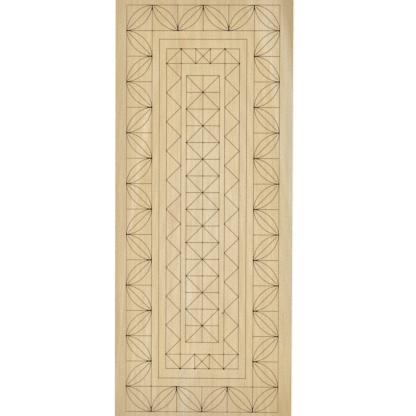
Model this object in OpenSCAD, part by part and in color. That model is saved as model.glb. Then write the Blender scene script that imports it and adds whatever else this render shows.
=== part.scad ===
// Chip carving practice board: a flat lime wood board with a burnt line pattern to carve along.
// Millimetres, Z up. The board rests on z = 0, its length runs along Y, and the origin is under its middle.

/* [Board] */
// Width across the grain
board_w = 100; // [80:1:160]
// Length along the grain
board_l = 250; // [180:1:360]
// Thickness
board_t = 10; // [6:0.5:25]
// Radius of the sanded arrises around both faces
arris_r = 0.6; // [0.2:0.1:2]
// Radius of the four upright corners
corner_r = 0.9; // [0.3:0.1:4]

/* [Leaf border] */
// Bare wood left of the border
left_margin = 6.3; // [4:0.1:12]
// Bare wood right of the border
right_margin = 7.5; // [4:0.1:12]
// Least bare wood beyond either end of the border
end_margin = 9; // [5:0.5:20]
// Squares across the border
squares_across = 6; // [6:2:8]
// Angle at the tip of a leaf between its midrib and its edge
leaf_tip_angle = 40.7; // [20:0.1:43]
// From the tip of a leaf to the end of its midrib
midrib_gap = 1.4; // [0.8:0.1:3]

/* [Plain frame] */
// From the border's inner rail to the frame line, along the sides
frame_gap_x = 4.1; // [2:0.1:6]
// From the border's inner rail to the frame line, at the ends
frame_gap_y = 4.8; // [2:0.1:6]

/* [Triangle band] */
// From the border's inner rail to the band, along the sides
band_gap_x = 8.2; // [7.2:0.1:10]
// From the border's inner rail to the band, at the ends
band_gap_y = 10.2; // [7.2:0.1:14]
// Squares across the band
band_squares_across = 5; // [5:2:7]

/* [Centre column] */
// From the band's inner rail to the column, along the sides
column_gap_x = 3; // [1.2:0.1:4]
// From the band's inner rail to the column, at the ends
column_gap_y = 6.8; // [1.2:0.1:12]

/* [Scored lines] */
// Width of the lines
line_w = 0.32; // [0.2:0.02:0.4]
// Depth of the scored lines in the face
kerf_depth = 0.3; // [0.24:0.02:0.8]
// Thickness of the burnt layer on a line's floor
burn_t = 0.18; // [0.06:0.02:0.2]
// Room between a burnt layer and the wood beside it
burn_gap = 0.01; // [0.005:0.005:0.03]

/* [Burnt dots] */
// Radius of the dots at the leaf tips
tip_r = 0.5; // [0.36:0.02:0.8]
// From the rail that a leaf touches to the middle of its tip dot
tip_inset = 0.3; // [0:0.02:0.5]
// Radius of the dots at the ends of the band's inner rails
band_rail_r = 0.52; // [0.34:0.02:0.6]
// Radius of the dots at the points of the triangles in the band's end rows
band_point_r = 0.38; // [0.34:0.02:0.6]
// Radius of the dots at the outer corners of the band's end crosses
band_cross_r = 0.38; // [0.34:0.02:0.6]
// Radius of the dots at the middle of the column's squares
column_mid_r = 0.4; // [0.34:0.02:0.6]
// Radius of the dots on the column's rails
column_side_r = 0.34; // [0.34:0.02:0.6]
// Depth of the dots in the face
pit_depth = 0.45; // [0.4:0.05:1]
// Thickness of the burnt layer on a dot's floor
pit_burn_t = 0.28; // [0.1:0.02:0.36]

/* [Hidden] */
$fn = 96;

wood_color = [0.86, 0.78, 0.62];
line_color = [0.45, 0.32, 0.2];
dot_color = [0.24, 0.16, 0.1];

// How far a cutter stands out of the face it cuts
cut_over = 1;
// What a kerf is wider than the burnt layer in it
kerf_grow = 2 * burn_gap;

// Leaf border: an even number of squares each way keeps its four corners alike
square_w = (board_w - left_margin - right_margin) / squares_across;
squares_along = 2 * floor((board_l - 2 * end_margin) / (2 * square_w));
border_w = squares_across * square_w;
border_l = squares_along * square_w;
pattern_x = (left_margin - right_margin) / 2;

// Leaf: two arcs over the diagonal of a square. They stop inside the tip dots, and the midrib short of them
leaf_reach = square_w / sqrt(2);
leaf_edge_r = leaf_reach / sin(leaf_tip_angle);
leaf_edge_y = leaf_edge_r * cos(leaf_tip_angle);
leaf_edge_end = leaf_reach - tip_r / 2;
midrib_end = leaf_reach - midrib_gap;

// Field inside the border
field_w = border_w - 2 * square_w;
field_l = border_l - 2 * square_w;

frame_w = field_w - 2 * frame_gap_x;
frame_l = field_l - 2 * frame_gap_y;

// Triangle band: as near to square as an even number of cells along it allows
band_w = field_w - 2 * band_gap_x;
band_l = field_l - 2 * band_gap_y;
band_x = band_w / band_squares_across;
band_along = 2 * round(band_l / (2 * band_x));
band_y = band_l / band_along;
band_half = (band_squares_across - 1) / 2;

// Centre column: one square wide
column_w = band_w - 2 * band_x - 2 * column_gap_x;
column_l = band_l - 2 * band_y - 2 * column_gap_y;
column_cells = max(1, round(column_l / column_w));
column_y = column_l / column_cells;

// Does the square in column i and row j belong to the border?
function in_border(i, j) = i == 0 || i == squares_across - 1 || j == 0 || j == squares_along - 1;

// Corners of the three lattices, from the pattern's centre
function border_at(i, j) = [i * square_w - border_w / 2, j * square_w - border_l / 2];
function band_at(i, j) = [i * band_x - band_w / 2, j * band_y - band_l / 2];
function column_at(i, j) = [i * column_w - column_w / 2, j * column_y - column_l / 2];

// Straight line from the middle of one end, p, to the middle of the other, q
module line(p, q, w) {
  d = q - p;
  translate(p)
    rotate(atan2(d[1], d[0]))
      translate([0, -w / 2])
        square([norm(d), w]);
}

module dot(p, r) {
  translate(p)
    circle(r);
}

// Outline of a rectangle about the pattern's centre
module outline(l, h, w) {
  difference() {
    square([l + w, h + w], center = true);
    square([l - w, h - w], center = true);
  }
}

// Leaf border

module border_square_lines(grow) {
  w = line_w + grow;
  outline(border_w, border_l, w);
  for (i = [1, squares_across - 1])
    line(border_at(i, 0), border_at(i, squares_along), w);
  for (j = [1, squares_along - 1])
    line(border_at(0, j), border_at(squares_across, j), w);
  for (i = [2 : squares_across - 2], j = [0, squares_along - 1])
    line(border_at(i, j), border_at(i, j + 1), w);
  for (j = [2 : squares_along - 2], i = [0, squares_across - 1])
    line(border_at(i, j), border_at(i + 1, j), w);
}

// Edge of a leaf whose midrib lies along X
module leaf_edge(w) {
  intersection() {
    translate([0, -leaf_edge_y])
      difference() {
        circle(leaf_edge_r + w / 2);
        circle(leaf_edge_r - w / 2);
      }
    translate([-leaf_edge_end, 0])
      square([2 * leaf_edge_end, leaf_reach]);
  }
}

module leaf(w) {
  leaf_edge(w);
  mirror([0, 1])
    leaf_edge(w);
  line([-midrib_end, 0], [midrib_end, 0], w);
}

// The leaves lean in turn, so that they meet tip to tip
module border_leaf_lines(grow) {
  w = line_w + grow;
  for (i = [0 : squares_across - 1], j = [0 : squares_along - 1])
    if (in_border(i, j))
      translate(border_at(i + 0.5, j + 0.5))
        rotate((i + j) % 2 == 0 ? -45 : 45)
          leaf(w);
}

// Each tip dot lies on the border's side of the rail that the leaf touches
module border_tip_dots(grow) {
  r = tip_r + grow / 2;
  for (side = [0, 1])
    mirror([side, 0]) {
      for (j = [1 : 2 : squares_along - 1])
        dot(border_at(0, j) + [tip_inset, 0], r);
      for (j = [2 : 2 : squares_along - 2])
        dot(border_at(1, j) - [tip_inset, 0], r);
    }
  for (end = [0, 1])
    mirror([0, end]) {
      for (i = [1 : 2 : squares_across - 1])
        dot(border_at(i, 0) + [0, tip_inset], r);
      for (i = [2 : 2 : squares_across - 2])
        dot(border_at(i, 1) - [0, tip_inset], r);
    }
}

// Plain frame

module frame_lines(grow) {
  outline(frame_w, frame_l, line_w + grow);
}

// Triangle band

module band_square_lines(grow) {
  w = line_w + grow;
  outline(band_w, band_l, w);
  for (i = [1, band_squares_across - 1])
    line(band_at(i, 0), band_at(i, band_along), w);
  for (j = [1, band_along - 1])
    line(band_at(0, j), band_at(band_squares_across, j), w);
  for (i = [band_half, band_half + 1], j = [0, band_along - 1])
    line(band_at(i, j), band_at(i, j + 1), w);
}

module band_triangle_lines(grow) {
  w = line_w + grow;
  for (side = [0, 1])
    mirror([side, 0]) {
      for (j = [1 : band_along - 2])
        line(band_at(1 - j % 2, j), band_at(j % 2, j + 1), w);
      for (end = [0, 1])
        mirror([0, end]) {
          for (i = [0 : band_half - 1])
            line(band_at(i, 1 - i % 2), band_at(i + 1, i % 2), w);
          line(band_at(band_half, 0), band_at(band_half + 1, 1), w);
        }
    }
}

module band_dots(grow) {
  rail_r = band_rail_r + grow / 2;
  point_r = band_point_r + grow / 2;
  cross_r = band_cross_r + grow / 2;
  for (side = [0, 1], end = [0, 1])
    mirror([side, 0])
      mirror([0, end]) {
        for (i = [0 : band_half])
          dot(band_at(i, 1 - i % 2), i == 1 ? rail_r : point_r);
        dot(band_at(band_half, band_half % 2), cross_r);
      }
}

// Centre column

module column_square_lines(grow) {
  w = line_w + grow;
  outline(column_w, column_l, w);
  line(column_at(0.5, 0), column_at(0.5, column_cells), w);
  for (j = [0.5 : 0.5 : column_cells - 0.5])
    line(column_at(0, j), column_at(1, j), w);
}

module column_ray_lines(grow) {
  w = line_w + grow;
  for (j = [0 : column_cells - 1]) {
    line(column_at(0, j), column_at(1, j + 1), w);
    line(column_at(1, j), column_at(0, j + 1), w);
  }
}

module column_dots(grow) {
  mid_r = column_mid_r + grow / 2;
  side_r = column_side_r + grow / 2;
  for (j = [0 : column_cells - 1])
    dot(column_at(0.5, j + 0.5), mid_r);
  for (i = [0, 1], j = [1 : 1 : column_cells - 1])
    dot(column_at(i, j), side_r);
}

// Solids

// The children are drawn about the pattern's centre
module on_floor(depth, thickness) {
  translate([pattern_x, 0, board_t - depth])
    linear_extrude(thickness)
      children();
}

module rounded_rectangle(w, h, r) {
  square([w - 2 * r, h], center = true);
  square([w, h - 2 * r], center = true);
  for (x = [-1, 1], y = [-1, 1])
    translate([x * (w / 2 - r), y * (h / 2 - r)])
      circle(r);
}

module blank() {
  intersection() {
    linear_extrude(board_t)
      rounded_rectangle(board_w, board_l, corner_r);
    translate([0, 0, board_t / 2])
      rotate([90, 0, 0])
        linear_extrude(board_l, center = true)
          rounded_rectangle(board_w, board_t, arris_r);
    translate([0, 0, board_t / 2])
      rotate([90, 0, 90])
        linear_extrude(board_w, center = true)
          rounded_rectangle(board_l, board_t, arris_r);
  }
}

module plank() {
  color(wood_color)
    difference() {
      blank();
      on_floor(kerf_depth, kerf_depth + cut_over) {
        border_square_lines(kerf_grow);
        border_leaf_lines(kerf_grow);
        frame_lines(kerf_grow);
        band_square_lines(kerf_grow);
        band_triangle_lines(kerf_grow);
        column_square_lines(kerf_grow);
        column_ray_lines(kerf_grow);
      }
      on_floor(pit_depth, pit_depth + cut_over) {
        border_tip_dots(kerf_grow);
        band_dots(kerf_grow);
        column_dots(kerf_grow);
      }
    }
}

module border_squares() {
  color(line_color)
    on_floor(kerf_depth, burn_t)
      difference() {
        border_square_lines(0);
        border_tip_dots(kerf_grow);
      }
}

module border_leaves() {
  color(line_color)
    on_floor(kerf_depth, burn_t)
      difference() {
        border_leaf_lines(0);
        border_square_lines(kerf_grow);
        border_tip_dots(kerf_grow);
      }
}

module border_tips() {
  color(dot_color)
    on_floor(pit_depth, pit_burn_t)
      border_tip_dots(0);
}

module frame_line() {
  color(line_color)
    on_floor(kerf_depth, burn_t)
      frame_lines(0);
}

module band_squares() {
  color(line_color)
    on_floor(kerf_depth, burn_t)
      difference() {
        band_square_lines(0);
        band_dots(kerf_grow);
      }
}

module band_triangles() {
  color(line_color)
    on_floor(kerf_depth, burn_t)
      difference() {
        band_triangle_lines(0);
        band_square_lines(kerf_grow);
        band_dots(kerf_grow);
      }
}

module band_points() {
  color(dot_color)
    on_floor(pit_depth, pit_burn_t)
      band_dots(0);
}

module column_squares() {
  color(line_color)
    on_floor(kerf_depth, burn_t)
      difference() {
        column_square_lines(0);
        column_dots(kerf_grow);
      }
}

module column_rays() {
  color(line_color)
    on_floor(kerf_depth, burn_t)
      difference() {
        column_ray_lines(0);
        column_square_lines(kerf_grow);
        column_dots(kerf_grow);
      }
}

module column_points() {
  color(dot_color)
    on_floor(pit_depth, pit_burn_t)
      column_dots(0);
}

plank();
border_squares();
border_leaves();
border_tips();
frame_line();
band_squares();
band_triangles();
band_points();
column_squares();
column_rays();
column_points();
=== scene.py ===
"""Chip carving practice board: a sanded lime wood plank with a line pattern burnt into its face."""

import math

import bpy
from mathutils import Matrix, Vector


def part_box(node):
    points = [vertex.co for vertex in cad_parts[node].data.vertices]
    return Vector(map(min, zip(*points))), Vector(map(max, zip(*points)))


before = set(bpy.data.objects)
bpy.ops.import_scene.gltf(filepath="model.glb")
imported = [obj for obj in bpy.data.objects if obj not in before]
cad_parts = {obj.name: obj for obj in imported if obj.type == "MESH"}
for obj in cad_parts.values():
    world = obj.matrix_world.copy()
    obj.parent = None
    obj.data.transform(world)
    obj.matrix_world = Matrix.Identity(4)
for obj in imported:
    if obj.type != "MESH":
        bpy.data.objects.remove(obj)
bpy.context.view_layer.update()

MM = 0.001  # Blender works in metres. Sizes below are in millimetres
LINE_W = 0.32  # Width of a burnt line, as in the CAD


def linear(code):
    """Turns an sRGB hex colour into the linear colour that a shader socket takes."""
    parts = [int(code[i:i + 2], 16) / 255 for i in (0, 2, 4)]
    return [p / 12.92 if p <= 0.04045 else ((p + 0.055) / 1.055) ** 2.4 for p in parts] + [1]


def add(tree, kind, settings, inputs):
    """Adds a node. Each input is joined to a socket or set to a value."""
    node = tree.nodes.new("ShaderNode" + kind)
    for name, value in settings.items():
        setattr(node, name, value)
    for name, value in inputs.items():
        if isinstance(value, bpy.types.NodeSocket):
            tree.links.new(value, node.inputs[name])
        else:
            node.inputs[name].default_value = value
    return node


def new_material(name):
    """A material with no nodes but the surface's place, in millimetres."""
    material = bpy.data.materials.new(name)
    material.use_nodes = True
    tree = material.node_tree
    tree.nodes.clear()
    place = add(tree, "TexCoord", {}, {}).outputs["Object"]
    place = add(tree, "VectorMath", {"operation": "SCALE"}, {0: place, "Scale": 1 / MM}).outputs[0]
    return material, tree, place


def size_of(node):
    """Half the width and half the length of a set of lines, to the middle of its outer lines."""
    low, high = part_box(node)
    return (high.x - low.x) / MM / 2 - LINE_W / 2, (high.y - low.y) / MM / 2 - LINE_W / 2


half_board_w, half_board_l, board_t = (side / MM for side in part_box("plank")[1])
pattern_x = sum(corner.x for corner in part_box("border_squares")) / 2 / MM


# Wood

RING_GAP = 2.4
RING_WANDER = 3.5  # How far a ring strays from a circle
PITH_X, PITH_DEPTH, PITH_RISE = 6, 47, 0.11  # The pith runs under the board and comes nearer at the near end

HONEY, BROWN, TAN, PALE, BARK = "BCA26D", "B9986B", "A98C5A", "CBC0AA", "6E4E26"

# Spots drawn out along the grain: width, length, detail, roughness
GRAIN = {
    "wander": (26, 150, 2, 0.5),
    "patch": (9, 42, 2, 0.5),
    "streak": (2.4, 110, 3, 0.6),
    "vessel": (0.5, 1.2, 2, 0.5),
    "fibre": (0.4, 18, 3, 0.65),
}

FLECK_DEPTH = 3  # A fleck's depth for each millimetre of its half width

# Flecks in the face: middle across and along, half width, half length, strength, tone
FLECKS = [
    (-16.5, 112.0, 4.2, 14.0, 0.45, BROWN),
    (-12.7, 93.0, 3.4, 6.5, 0.55, BROWN),
    (-15.0, 81.0, 4.0, 9.0, 0.38, BROWN),
    (-24.0, 97.0, 6.0, 30.0, 0.5, HONEY),
    (-42.0, 2.0, 2.0, 14.0, 0.3, BROWN),
    (-32.5, 16.0, 2.4, 6.0, 0.45, BROWN),
    (-34.0, -64.0, 1.8, 24.0, 0.25, BROWN),
    (-49.5, -68.0, 4.0, 34.0, 0.4, TAN),
    (-18.0, -3.0, 3.2, 11.0, 0.4, BROWN),
    (-15.0, 3.0, 2.0, 7.0, 0.35, BROWN),
    (-24.5, -52.0, 1.8, 18.0, 0.3, BROWN),
    (-28.0, -40.0, 3.4, 60.0, 0.3, HONEY),
    (-24.0, -78.0, 4.0, 36.0, 0.4, HONEY),
    (-2.8, -44.0, 1.6, 12.0, 0.35, BROWN),
    (-7.0, -73.0, 1.6, 10.0, 0.4, BROWN),
    (-1.0, -68.0, 1.8, 12.0, 0.35, BROWN),
    (9.0, -36.0, 1.6, 11.0, 0.3, BROWN),
    (12.2, -62.0, 1.5, 9.0, 0.3, BROWN),
    (10.5, -66.0, 3.6, 13.0, 0.35, HONEY),
    (15.0, 52.0, 5.0, 48.0, 0.25, HONEY),
    (21.0, -32.0, 3.0, 42.0, 0.35, HONEY),
    (33.0, -12.0, 16.0, 75.0, 0.2, HONEY),
    (7.0, -84.0, 8.0, 18.0, 0.35, HONEY),
    (36.0, -92.0, 30.0, 66.0, 0.35, HONEY),
    (42.0, -98.0, 5.0, 18.0, 0.3, BROWN),
    (47.0, -116.0, 10.0, 18.0, 0.4, TAN),
    (36.0, 104.0, 5.0, 26.0, 0.4, PALE),
    (3.5, -2.0, 2.4, 16.0, 0.5, PALE),
    (7.1, -11.0, 1.6, 13.0, 0.4, PALE),
    (-9.0, -50.0, 2.6, 24.0, 0.5, PALE),
    (-10.5, -108.0, 3.4, 22.0, 0.4, PALE),
    (11.1, -58.7, 1.0, 0.8, 0.95, BARK),
]

TIP_INSET = 0.3  # From the rail that a leaf touches to the middle of its tip dot, as in the CAD
HALO_FADE, HALO_BURN = (0.5, 1.0), 0.65  # Browned wood round a dot, from the dot's middle outwards
WARMED = "7C603C"  # Wood browned by the heat beside a burnt line


def inner_tip_halo(tree, x, along, squares):
    """How brown the wood is round the dots at the inner leaf tips, which the most lines run to.

    These tips lie one square in from the side or the end, at every second join.
    """
    half_w, half_l, squares_across, _ = squares
    square = 2 * half_w / squares_across
    off_x = add(tree, "Math", {"operation": "SUBTRACT"}, {0: x, 1: pattern_x}).outputs[0]
    off_x = add(tree, "Math", {"operation": "ABSOLUTE"}, {0: off_x}).outputs[0]
    from_side = add(tree, "Math", {"operation": "MULTIPLY_ADD"}, {
        0: off_x, 1: -1 / square, 2: half_w / square}).outputs[0]
    from_end = add(tree, "Math", {"operation": "MULTIPLY_ADD"}, {
        0: along, 1: -1 / square, 2: half_l / square}).outputs[0]
    inwards = add(tree, "Math", {"operation": "MINIMUM"}, {0: from_side, 1: from_end}).outputs[0]
    onwards = add(tree, "Math", {"operation": "MAXIMUM"}, {0: from_side, 1: from_end}).outputs[0]
    onwards = add(tree, "Math", {"operation": "PINGPONG"}, {0: onwards, 1: 1}).outputs[0]
    from_dot = add(tree, "CombineXYZ", {}, {0: inwards, 1: onwards}).outputs[0]
    from_dot = add(tree, "VectorMath", {"operation": "MULTIPLY_ADD"}, {
        0: from_dot, 1: (square, square, 0), 2: (TIP_INSET - square, 0, 0)}).outputs[0]
    from_dot = add(tree, "VectorMath", {"operation": "LENGTH"}, {0: from_dot}).outputs["Value"]
    return add(tree, "MapRange", {"interpolation_type": "SMOOTHSTEP"}, {
        0: from_dot, 1: HALO_FADE[0], 2: HALO_FADE[1], 3: HALO_BURN, 4: 0}).outputs[0]


def lime_wood(squares):
    """Lime, flat sawn, fine sanded and left bare: pale cream, with fine straight fibres and faint rings.

    squares gives the border's half width and half length, and how many squares lie across and along it.
    """
    material, tree, place = new_material("lime_wood_sanded")
    x, y, z = add(tree, "SeparateXYZ", {}, {0: place}).outputs
    grain = {}
    for name, (width, length, detail, roughness) in GRAIN.items():
        spots = add(tree, "Mapping", {}, {
            "Vector": place, "Scale": (1 / width, 1 / length, 1 / width)}).outputs[0]
        grain[name] = add(tree, "TexNoise", {}, {
            "Vector": spots, "Scale": 1, "Detail": detail, "Roughness": roughness}).outputs[0]

    # Growth rings about the pith
    wander = add(tree, "MapRange", {}, {
        0: grain["wander"], 3: -RING_WANDER, 4: RING_WANDER}).outputs[0]
    off_pith = add(tree, "Math", {"operation": "SUBTRACT"}, {0: x, 1: PITH_X}).outputs[0]
    depth = add(tree, "Math", {"operation": "MULTIPLY_ADD"}, {0: y, 1: PITH_RISE, 2: PITH_DEPTH}).outputs[0]
    depth = add(tree, "Math", {"operation": "ADD"}, {0: depth, 1: z}).outputs[0]
    across = add(tree, "CombineXYZ", {}, {0: off_pith, 1: depth}).outputs[0]
    radius = add(tree, "VectorMath", {"operation": "LENGTH"}, {0: across}).outputs["Value"]
    radius = add(tree, "Math", {"operation": "ADD"}, {0: wander, 1: radius}).outputs[0]
    year = add(tree, "Math", {"operation": "DIVIDE"}, {0: radius, 1: RING_GAP}).outputs[0]
    season = add(tree, "Math", {"operation": "FRACT"}, {0: year}).outputs[0]
    late = add(tree, "ValToRGB", {}, {0: season})
    late.color_ramp.interpolation = "B_SPLINE"
    late.color_ramp.elements[0].color = linear("404040")
    late.color_ramp.elements[1].color = linear("404040")
    for position, code in ((0.4, "000000"), (0.8, "FFFFFF")):
        late.color_ramp.elements.new(position).color = linear(code)
    late = late.outputs[0]

    # Tone from the pith outwards: a cooler heart, one pale ring, then creamier wood
    out = add(tree, "MapRange", {}, {0: radius, 1: 45, 2: 95}).outputs[0]
    tone = add(tree, "ValToRGB", {}, {0: out})
    tone.color_ramp.interpolation = "EASE"
    tone.color_ramp.elements[0].color = linear("C7B592")
    tone.color_ramp.elements[1].color = linear("C2AE84")
    for position, code in ((0.3, "C7B592"), (0.53, "C4AF85"), (0.565, "CBB997"), (0.6, "C3AE85")):
        tone.color_ramp.elements.new(position).color = linear(code)
    tone = tone.outputs[0]

    # Broad patches of warmer tone
    warm = add(tree, "MapRange", {}, {0: grain["patch"], 1: 0.45, 2: 0.7, 3: 0.0, 4: 0.5}).outputs[0]
    tone = add(tree, "Mix", {"data_type": "RGBA"}, {0: warm, 6: tone, 7: linear("C1AA7F")}).outputs[2]

    # Painted shade: the margins are darker and browner towards the edges and the ends, where the light falls
    # off
    side = add(tree, "Math", {"operation": "ABSOLUTE"}, {0: x}).outputs[0]
    along = add(tree, "Math", {"operation": "ABSOLUTE"}, {0: y}).outputs[0]
    edge_shade_strength = add(tree, "MapRange", {}, {0: x, 1: -half_board_w, 2: half_board_w, 3: 0.47, 4: 0.45}).outputs[0]
    edge = add(tree, "MapRange", {"interpolation_type": "SMOOTHSTEP"}, {
        0: side, 1: half_board_w - 12, 2: half_board_w + 1}).outputs[0]
    edge = add(tree, "Math", {"operation": "MULTIPLY"}, {0: edge, 1: edge_shade_strength}).outputs[0]
    near_end = add(tree, "MapRange", {"interpolation_type": "SMOOTHSTEP"}, {
        0: y, 1: 45 - half_board_l, 2: 1 - half_board_l, 4: 0.6}).outputs[0]
    far_end = add(tree, "MapRange", {"interpolation_type": "SMOOTHSTEP"}, {
        0: y, 1: half_board_l - 31, 2: half_board_l - 2, 4: 0.5}).outputs[0]
    end = add(tree, "Math", {"operation": "MAXIMUM"}, {0: near_end, 1: far_end}).outputs[0]
    right = add(tree, "MapRange", {}, {0: x, 1: -20, 2: 20}).outputs[0]
    far = add(tree, "MapRange", {}, {0: y, 1: -110, 2: 50}).outputs[0]
    # Colour of the painted shade at the edges: browner at the left, greyer towards the far right
    grey = add(tree, "Mix", {"data_type": "RGBA"}, {
        0: far, 6: linear("AC9B78"), 7: linear("B0AC9F")}).outputs[2]
    painted_edge_shade = add(tree, "Mix", {"data_type": "RGBA"}, {0: right, 6: linear("AC9776"), 7: grey}).outputs[2]
    tone = add(tree, "Mix", {"data_type": "RGBA"}, {0: edge, 6: tone, 7: painted_edge_shade}).outputs[2]
    tone = add(tree, "Mix", {"data_type": "RGBA"}, {0: end, 6: tone, 7: linear("AC9672")}).outputs[2]

    # Flecks of warmer and of paler wood, drawn out along the fibres, each a few times as deep as wide
    for middle_x, middle_y, half_w, half_l, strength, code in FLECKS:
        fleck_depth = FLECK_DEPTH * half_w
        near = add(tree, "Mapping", {}, {
            "Vector": place,
            "Location": (-middle_x / half_w, -middle_y / half_l, -board_t / fleck_depth),
            "Scale": (1 / half_w, 1 / half_l, 1 / fleck_depth)}).outputs[0]
        near = add(tree, "VectorMath", {"operation": "LENGTH"}, {0: near}).outputs["Value"]
        near = add(tree, "Math", {"operation": "MULTIPLY_ADD"}, {
            0: grain["streak"], 1: 0.8, 2: near}).outputs[0]
        near = add(tree, "MapRange", {"interpolation_type": "SMOOTHSTEP"}, {
            0: near, 1: 0.5, 2: 1.5, 3: strength, 4: 0}).outputs[0]
        tone = add(tree, "Mix", {"data_type": "RGBA"}, {0: near, 6: tone, 7: linear(code)}).outputs[2]

    # Mineral streak, darker, in the outer rings at one far corner
    stain = add(tree, "MapRange", {"interpolation_type": "SMOOTHSTEP"}, {
        0: radius, 1: 77.7, 2: 80.0}).outputs[0]
    one_side = add(tree, "MapRange", {}, {0: x, 1: 10, 2: 25, 3: 0.0, 4: 0.9}).outputs[0]
    stain = add(tree, "Math", {"operation": "MULTIPLY"}, {0: stain, 1: one_side}).outputs[0]
    tone = add(tree, "Mix", {"data_type": "RGBA"}, {0: stain, 6: tone, 7: linear("A68F66")}).outputs[2]

    # Late wood, streaks, fibres and vessels that show as short dashes each shade the tone by a few hundredths
    shade = add(tree, "MapRange", {}, {0: late, 3: 1.012, 4: 0.955}).outputs[0]
    for name, pale, dark in (("streak", 1.06, 0.93), ("fibre", 1.08, 0.895), ("vessel", 1.095, 0.90)):
        part = add(tree, "MapRange", {}, {0: grain[name], 1: 0.3, 2: 0.72, 3: pale, 4: dark}).outputs[0]
        shade = add(tree, "Math", {"operation": "MULTIPLY"}, {0: shade, 1: part}).outputs[0]
    tone = add(tree, "VectorMath", {"operation": "SCALE"}, {0: tone, "Scale": shade}).outputs[0]

    # End grain takes in more light: darker, with clear rings and open pores about 0.3 mm across
    facing = add(tree, "NewGeometry", {}, {}).outputs["Normal"]
    facing = add(tree, "SeparateXYZ", {}, {0: facing}).outputs["Y"]
    facing = add(tree, "Math", {"operation": "ABSOLUTE"}, {0: facing}).outputs[0]
    sawn = add(tree, "MapRange", {}, {0: facing, 1: 0.5, 2: 0.95, 3: 0.0, 4: 0.75}).outputs[0]
    pore = add(tree, "TexNoise", {}, {"Vector": place, "Scale": 3.2, "Detail": 2}).outputs[0]
    pore = add(tree, "MapRange", {}, {0: pore, 1: 0.35, 2: 0.7}).outputs[0]
    end_tone = add(tree, "Mix", {"data_type": "RGBA"}, {
        0: pore, 6: linear("B19A70"), 7: linear("97805A")}).outputs[2]
    end_tone = add(tree, "Mix", {"data_type": "RGBA"}, {0: late, 6: end_tone, 7: linear("8C744E")}).outputs[2]
    tone = add(tree, "Mix", {"data_type": "RGBA"}, {0: sawn, 6: tone, 7: end_tone}).outputs[2]

    # The heat browns the wood round the inner leaf tips, and the walls of the scored lines
    above = add(tree, "Math", {"operation": "GREATER_THAN"}, {0: z, 1: board_t - 1}).outputs[0]
    halo = inner_tip_halo(tree, x, along, squares)
    halo = add(tree, "Math", {"operation": "MULTIPLY"}, {0: halo, 1: above}).outputs[0]
    tone = add(tree, "Mix", {"data_type": "RGBA"}, {0: halo, 6: tone, 7: linear(WARMED)}).outputs[2]
    wall = add(tree, "Math", {"operation": "LESS_THAN"}, {0: z, 1: board_t - 0.02}).outputs[0]
    in_width = add(tree, "Math", {"operation": "LESS_THAN"}, {0: side, 1: half_board_w - 2}).outputs[0]
    in_length = add(tree, "Math", {"operation": "LESS_THAN"}, {0: along, 1: half_board_l - 3}).outputs[0]
    for limit in (above, in_width, in_length):
        wall = add(tree, "Math", {"operation": "MULTIPLY"}, {0: wall, 1: limit}).outputs[0]
    tone = add(tree, "Mix", {"data_type": "RGBA"}, {0: wall, 6: tone, 7: linear(WARMED)}).outputs[2]

    # Sanded smooth: only the fibres stand up, by about 0.01 mm
    rough = add(tree, "MapRange", {}, {0: grain["fibre"], 1: 0.3, 2: 0.7, 3: 0.56, 4: 0.7}).outputs[0]
    bump = add(tree, "Bump", {}, {
        "Strength": 0.35, "Distance": 0.02 * MM, "Height": grain["fibre"]}).outputs[0]
    shader = add(tree, "BsdfPrincipled", {}, {
        "Base Color": tone, "Roughness": rough, "Normal": bump, "IOR": 1.5, "Specular IOR Level": 0.3})
    add(tree, "OutputMaterial", {}, {"Surface": shader.outputs[0]})
    return material


# Burnt lines

CHAR, LIGHT_SCORCH = "301E08", "A38965"
HOTTER = (0.0021, 0.0011, 0)  # How much more the lines burn per millimetre across and along

# Share of char at a join that something points at, at such a join in an end row, and at a bare one there
POINTED_JOIN, POINTED_END_JOIN, BARE_END_JOIN = 0.9, 0.5, 0.85
CROSS_CHAR = 0.8

# A dark place is full dark within the first distance and fades out by the second
JOIN_FADE, TIP_FADE, CROSS_FADE = (0.3, 1.05), (2.2, 4.0), (0.3, 1.2)
TIP_DRAWN_OUT = 1.6  # A leaf tip's dark place is longer than wide
OUTER_TIP_REACH = 0.72  # It is smaller on the outer lines of the two sides


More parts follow.
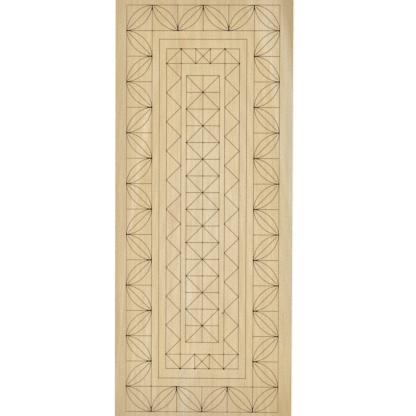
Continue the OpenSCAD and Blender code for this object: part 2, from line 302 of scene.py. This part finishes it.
def leaf_tip_burn(tree, x, from_middle, i, j, outer, half_l, square_x, square_y):
    """How dark the lines are near the leaf tips, drawn out along the line that two leaves share.

    That line runs across the board, but along it in the end rows. Tips lie where i + j is odd.
    """
    rise = add(tree, "Math", {"operation": "ADD"}, {0: i, 1: j}).outputs[0]
    fall = add(tree, "Math", {"operation": "SUBTRACT"}, {0: i, 1: j}).outputs[0]
    steps = []
    for way in (rise, fall):
        half = add(tree, "Math", {"operation": "MULTIPLY_ADD"}, {0: way, 1: 0.5, 2: -0.5}).outputs[0]
        nearest = add(tree, "Math", {"operation": "ROUND"}, {0: half}).outputs[0]
        steps.append(add(tree, "Math", {"operation": "SUBTRACT"}, {0: half, 1: nearest}).outputs[0])
    step_x = add(tree, "Math", {"operation": "ADD"}, {0: steps[0], 1: steps[1]}).outputs[0]
    step_y = add(tree, "Math", {"operation": "SUBTRACT"}, {0: steps[0], 1: steps[1]}).outputs[0]
    middle = add(tree, "Math", {"operation": "LESS_THAN"}, {0: x, 1: 1.5 * square_x}).outputs[0]
    end_rail = add(tree, "Math", {"operation": "GREATER_THAN"}, {
        0: from_middle, 1: half_l - 0.5 * square_y}).outputs[0]
    end_row = add(tree, "Math", {"operation": "MAXIMUM"}, {0: middle, 1: end_rail}).outputs[0]
    across = add(tree, "CombineXYZ", {}, {0: step_x, 1: step_y}).outputs[0]
    along = add(tree, "CombineXYZ", {}, {0: step_y, 1: step_x}).outputs[0]
    from_tip = add(tree, "Mix", {"data_type": "VECTOR"}, {0: end_row, 4: across, 5: along}).outputs[1]
    from_tip = add(tree, "VectorMath", {"operation": "MULTIPLY"}, {
        0: from_tip, 1: (square_x, TIP_DRAWN_OUT * square_x, 0)}).outputs[0]
    from_tip = add(tree, "VectorMath", {"operation": "LENGTH"}, {0: from_tip}).outputs["Value"]
    reach = add(tree, "MapRange", {}, {0: outer, 3: 1, 4: OUTER_TIP_REACH}).outputs[0]
    from_tip = add(tree, "Math", {"operation": "DIVIDE"}, {0: from_tip, 1: reach}).outputs[0]
    return add(tree, "MapRange", {"interpolation_type": "SMOOTHSTEP"}, {
        0: from_tip, 1: TIP_FADE[0], 2: TIP_FADE[1], 3: 1, 4: 0}).outputs[0]


def end_cross_burn(tree, x, from_middle, half_l, square_y):
    """How dark the lines are near the middle of the cross in each end row."""
    off_y = add(tree, "Math", {"operation": "SUBTRACT"}, {
        0: from_middle, 1: half_l - 0.5 * square_y}).outputs[0]
    off = add(tree, "CombineXYZ", {}, {0: x, 1: off_y}).outputs[0]
    off = add(tree, "VectorMath", {"operation": "LENGTH"}, {0: off}).outputs["Value"]
    return add(tree, "MapRange", {"interpolation_type": "SMOOTHSTEP"}, {
        0: off, 1: CROSS_FADE[0], 2: CROSS_FADE[1], 3: CROSS_CHAR, 4: 0}).outputs[0]


def scorched_line(name, brown, squares, bare_joins, pale_rails=(0, 0), pale_end_row=(),
                  leaf_tips=False, end_crosses=False):
    """Lime browned by a hot beam: a matt brown line, darker at joins, paler where it runs with the grain.

    squares gives half the width and half the length of the set of lines, and how many squares lie across
    and along it. bare_joins says how dark the joins are that no leaf or triangle points at, on the outer
    lines and on the inner ones. pale_rails says how much paler the outer lines along the grain are, and the
    inner ones. pale_end_row says how much paler the lines inside the end rows are, and the inner lines along
    the grain there.
    """
    material, tree, place = new_material("scorched_lime_" + name)
    half_w, half_l, squares_across, squares_along = squares
    square_x, square_y = 2 * half_w / squares_across, 2 * half_l / squares_along

    # Unevenly burnt, in spots about 0.8 mm wide and 5 mm long, and a little more towards the far right corner
    spots = add(tree, "Mapping", {}, {"Vector": place, "Scale": (1 / 0.8, 1 / 5, 1 / 0.8)}).outputs[0]
    spots = add(tree, "TexNoise", {}, {"Vector": spots, "Scale": 1, "Detail": 3}).outputs[0]
    burnt = add(tree, "MapRange", {}, {0: spots, 1: 0.3, 2: 0.7, 3: 0.02, 4: 0.26}).outputs[0]
    hotter = add(tree, "VectorMath", {"operation": "DOT_PRODUCT"}, {0: place, 1: HOTTER}).outputs["Value"]
    burnt = add(tree, "Math", {"operation": "ADD", "use_clamp": True}, {0: burnt, 1: hotter}).outputs[0]

    # The place in the set of lines, in squares: i from the outer line inwards, j from the near end
    axis = add(tree, "SeparateXYZ", {}, {0: place})
    x = add(tree, "Math", {"operation": "SUBTRACT"}, {0: axis.outputs["X"], 1: pattern_x}).outputs[0]
    x = add(tree, "Math", {"operation": "ABSOLUTE"}, {0: x}).outputs[0]
    y = axis.outputs["Y"]
    from_middle = add(tree, "Math", {"operation": "ABSOLUTE"}, {0: y}).outputs[0]
    i = add(tree, "Math", {"operation": "MULTIPLY_ADD"}, {
        0: x, 1: -1 / square_x, 2: half_w / square_x}).outputs[0]
    j = add(tree, "Math", {"operation": "MULTIPLY_ADD"}, {
        0: y, 1: 1 / square_y, 2: half_l / square_y}).outputs[0]
    from_line = add(tree, "Math", {"operation": "PINGPONG"}, {0: i, 1: 0.5}).outputs[0]
    from_rung = add(tree, "Math", {"operation": "PINGPONG"}, {0: j, 1: 0.5}).outputs[0]
    outer = add(tree, "Math", {"operation": "LESS_THAN"}, {0: i, 1: 0.5}).outputs[0]

    # Dark joins. Leaves and triangles point at those where i + j is odd
    join_i = add(tree, "Math", {"operation": "ROUND"}, {0: i}).outputs[0]
    join_j = add(tree, "Math", {"operation": "ROUND"}, {0: j}).outputs[0]
    pointed = add(tree, "Math", {"operation": "ADD"}, {0: join_i, 1: join_j}).outputs[0]
    pointed = add(tree, "Math", {"operation": "PINGPONG"}, {0: pointed, 1: 1}).outputs[0]
    last = add(tree, "Math", {"operation": "GREATER_THAN"}, {
        0: from_middle, 1: half_l - 1.5 * square_y}).outputs[0]
    dark = add(tree, "MapRange", {}, {
        0: last, 3: bare_joins[1], 4: max(bare_joins[1], BARE_END_JOIN)}).outputs[0]
    dark = add(tree, "MapRange", {}, {0: outer, 3: dark, 4: bare_joins[0]}).outputs[0]
    at_point = add(tree, "MapRange", {}, {0: last, 3: POINTED_JOIN, 4: POINTED_END_JOIN}).outputs[0]
    dark = add(tree, "MapRange", {}, {0: pointed, 3: dark, 4: at_point}).outputs[0]
    away = add(tree, "CombineXYZ", {}, {0: from_line, 1: from_rung}).outputs[0]
    away = add(tree, "VectorMath", {"operation": "LENGTH"}, {0: away}).outputs["Value"]
    join = add(tree, "MapRange", {"interpolation_type": "SMOOTHSTEP"}, {
        0: away, 1: JOIN_FADE[0] / square_x, 2: JOIN_FADE[1] / square_x, 3: dark, 4: 0}).outputs[0]
    dark_places = [join]
    if leaf_tips:
        dark_places.append(leaf_tip_burn(tree, x, from_middle, i, j, outer, half_l, square_x, square_y))
    if end_crosses:
        dark_places.append(end_cross_burn(tree, x, from_middle, half_l, square_y))
    for dark_place in dark_places:
        burnt = add(tree, "Math", {"operation": "MAXIMUM"}, {0: burnt, 1: dark_place}).outputs[0]

    # Paler along the grain, on the two outermost lines of each side
    pale = add(tree, "MapRange", {}, {0: outer, 3: pale_rails[1], 4: pale_rails[0]}).outputs[0]
    rail = add(tree, "Math", {"operation": "LESS_THAN"}, {0: i, 1: 1.5}).outputs[0]
    on_line = add(tree, "Math", {"operation": "LESS_THAN"}, {
        0: from_line, 1: 0.55 * LINE_W / square_x}).outputs[0]
    rail = add(tree, "Math", {"operation": "MULTIPLY"}, {0: rail, 1: on_line}).outputs[0]
    pale = add(tree, "Math", {"operation": "MULTIPLY"}, {0: pale, 1: rail}).outputs[0]
    if pale_end_row:
        past_rung = add(tree, "Math", {"operation": "GREATER_THAN"}, {
            0: from_middle, 1: half_l - square_y - LINE_W}).outputs[0]
        inside = add(tree, "Math", {"operation": "LESS_THAN"}, {
            0: from_middle, 1: half_l - LINE_W}).outputs[0]
        in_row = add(tree, "Math", {"operation": "MULTIPLY"}, {0: past_rung, 1: inside}).outputs[0]
        row_rail = add(tree, "MapRange", {}, {0: outer, 3: pale_end_row[1], 4: pale_end_row[0]}).outputs[0]
        row_pale = add(tree, "MapRange", {}, {0: rail, 3: pale_end_row[0], 4: row_rail}).outputs[0]
        pale = add(tree, "MapRange", {}, {0: in_row, 3: pale, 4: row_pale}).outputs[0]
    tone = add(tree, "Mix", {"data_type": "RGBA"}, {
        0: pale, 6: linear(brown), 7: linear(LIGHT_SCORCH)}).outputs[2]

    tone = add(tree, "Mix", {"data_type": "RGBA"}, {0: burnt, 6: tone, 7: linear(CHAR)}).outputs[2]
    bump = add(tree, "Bump", {}, {"Strength": 0.5, "Distance": 0.03 * MM, "Height": spots}).outputs[0]
    shader = add(tree, "BsdfPrincipled", {}, {
        "Base Color": tone, "Roughness": 0.92, "Normal": bump, "IOR": 1.5, "Specular IOR Level": 0.15})
    add(tree, "OutputMaterial", {}, {"Surface": shader.outputs[0]})
    return material


def charred_dot():
    """Lime burnt to charcoal where the beam dwells: near black, matt, cracked in scales 0.2 mm wide."""
    material, tree, place = new_material("charred_lime")
    crack = add(tree, "TexVoronoi", {"feature": "DISTANCE_TO_EDGE"}, {"Vector": place, "Scale": 5}).outputs[0]
    crack = add(tree, "MapRange", {}, {0: crack, 1: 0.0, 2: 0.25}).outputs[0]
    tone = add(tree, "Mix", {"data_type": "RGBA"}, {
        0: crack, 6: linear("120903"), 7: linear("301C06")}).outputs[2]
    bump = add(tree, "Bump", {}, {"Strength": 0.6, "Distance": 0.03 * MM, "Height": crack}).outputs[0]
    shader = add(tree, "BsdfPrincipled", {}, {
        "Base Color": tone, "Roughness": 0.9, "Normal": bump, "IOR": 1.5, "Specular IOR Level": 0.06})
    add(tree, "OutputMaterial", {}, {"Surface": shader.outputs[0]})
    return material


def dress(material, *names):
    """Gives CAD nodes their material."""
    for name in names:
        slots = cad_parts[name].data.materials
        slots.clear()
        slots.append(material)


# Half width, half length, squares across and squares along of each set of lines
border = (*size_of("border_squares"), 6, 16)
band = (*size_of("band_squares"), 5, 22)
column = (*size_of("column_squares"), 2, 16)
plain_frame = (*size_of("frame_line"), 2, 2)

dress(lime_wood(border), "plank")
dress(scorched_line("border_squares", "8D6C42", border, (0, 0.5), (0.75, 0.3), leaf_tips=True),
      "border_squares")
dress(scorched_line("border_leaves", "896B43", border, (0, 0), leaf_tips=True), "border_leaves")
dress(scorched_line("frame_line", "866843", plain_frame, (0.4, 0), (0.2, 0)), "frame_line")
dress(scorched_line("band_squares", "806039", band, (0.2, 0), (0.38, 0.38), (0.5, 0.2)),
      "band_squares")
dress(scorched_line("band_triangles", "886A3F", band, (0, 0), end_crosses=True), "band_triangles")
dress(scorched_line("column_squares", "866840", column, (0.8, 0.8), (0.35, 0.6)), "column_squares")
dress(scorched_line("column_rays", "82643B", column, (0.8, 0.8)), "column_rays")
dress(charred_dot(), "border_tips", "band_points", "column_points")


# Floor, light and camera

CARD = 6000  # Side of the card that the board lies on
CARD_GAP = 0.02  # Keeps the card and the board's back out of one plane
WINDOW_RIM = 2  # How far the board's edges lie on the card


def pale_floor():
    """A wide sheet of matt white card. A window in it, all under the board, shows the back from below."""
    bpy.ops.object.select_all(action="DESELECT")
    bpy.ops.mesh.primitive_plane_add(size=CARD * MM, location=(0, 0, -CARD_GAP * MM))
    floor = bpy.context.object
    floor.name = "floor"
    bpy.ops.object.mode_set(mode="EDIT")
    bpy.ops.mesh.select_all(action="SELECT")
    bpy.ops.mesh.inset(thickness=CARD / 4 * MM)
    inner = CARD / 2
    window_w, window_l = 2 * (half_board_w - WINDOW_RIM), 2 * (half_board_l - WINDOW_RIM)
    bpy.ops.transform.resize(value=(window_w / inner, window_l / inner, 1))
    bpy.ops.mesh.delete(type="FACE")
    bpy.ops.object.mode_set(mode="OBJECT")
    material, tree, place = new_material("white_card")
    speck = add(tree, "TexNoise", {}, {"Vector": place, "Scale": 0.4, "Detail": 2}).outputs[0]
    tone = add(tree, "Mix", {"data_type": "RGBA"}, {
        0: speck, 6: linear("F4F4F3"), 7: linear("F8F8F7")}).outputs[2]
    shader = add(tree, "BsdfPrincipled", {}, {
        "Base Color": tone, "Roughness": 0.9, "Specular IOR Level": 0.1})
    add(tree, "OutputMaterial", {}, {"Surface": shader.outputs[0]})
    floor.data.materials.append(material)


def studio():
    """Even light from a soft box straight above, and a pale room that fills the sides."""
    light = bpy.data.lights.new("soft_box_overhead", "AREA")
    light.shape = "SQUARE"
    light.size = 0.6
    light.energy = 19.8
    lamp = bpy.data.objects.new("soft_box_overhead", light)
    lamp.location = (0, 0, 1.7)
    bpy.context.scene.collection.objects.link(lamp)
    world = bpy.data.worlds.new("pale_room")
    world.use_nodes = True
    room = world.node_tree.nodes["Background"]
    room.inputs["Color"].default_value = linear("FFFFFF")
    room.inputs["Strength"].default_value = 0.6
    bpy.context.scene.world = world
    bpy.context.scene.view_settings.view_transform = "Standard"


def camera_above():
    """Looks down on the face from 0.6 m, a little off the square as the photograph is."""
    camera = bpy.data.cameras.new("camera")
    camera.sensor_width = 36
    camera.lens = 91.73
    viewer = bpy.data.objects.new("camera", camera)
    viewer.location = (13.25 * MM, 13.54 * MM, 608.4 * MM)
    viewer.rotation_euler = (math.radians(-1.219), math.radians(1.035), math.radians(0.223))
    bpy.context.scene.collection.objects.link(viewer)
    bpy.context.scene.camera = viewer


pale_floor()
studio()
camera_above()
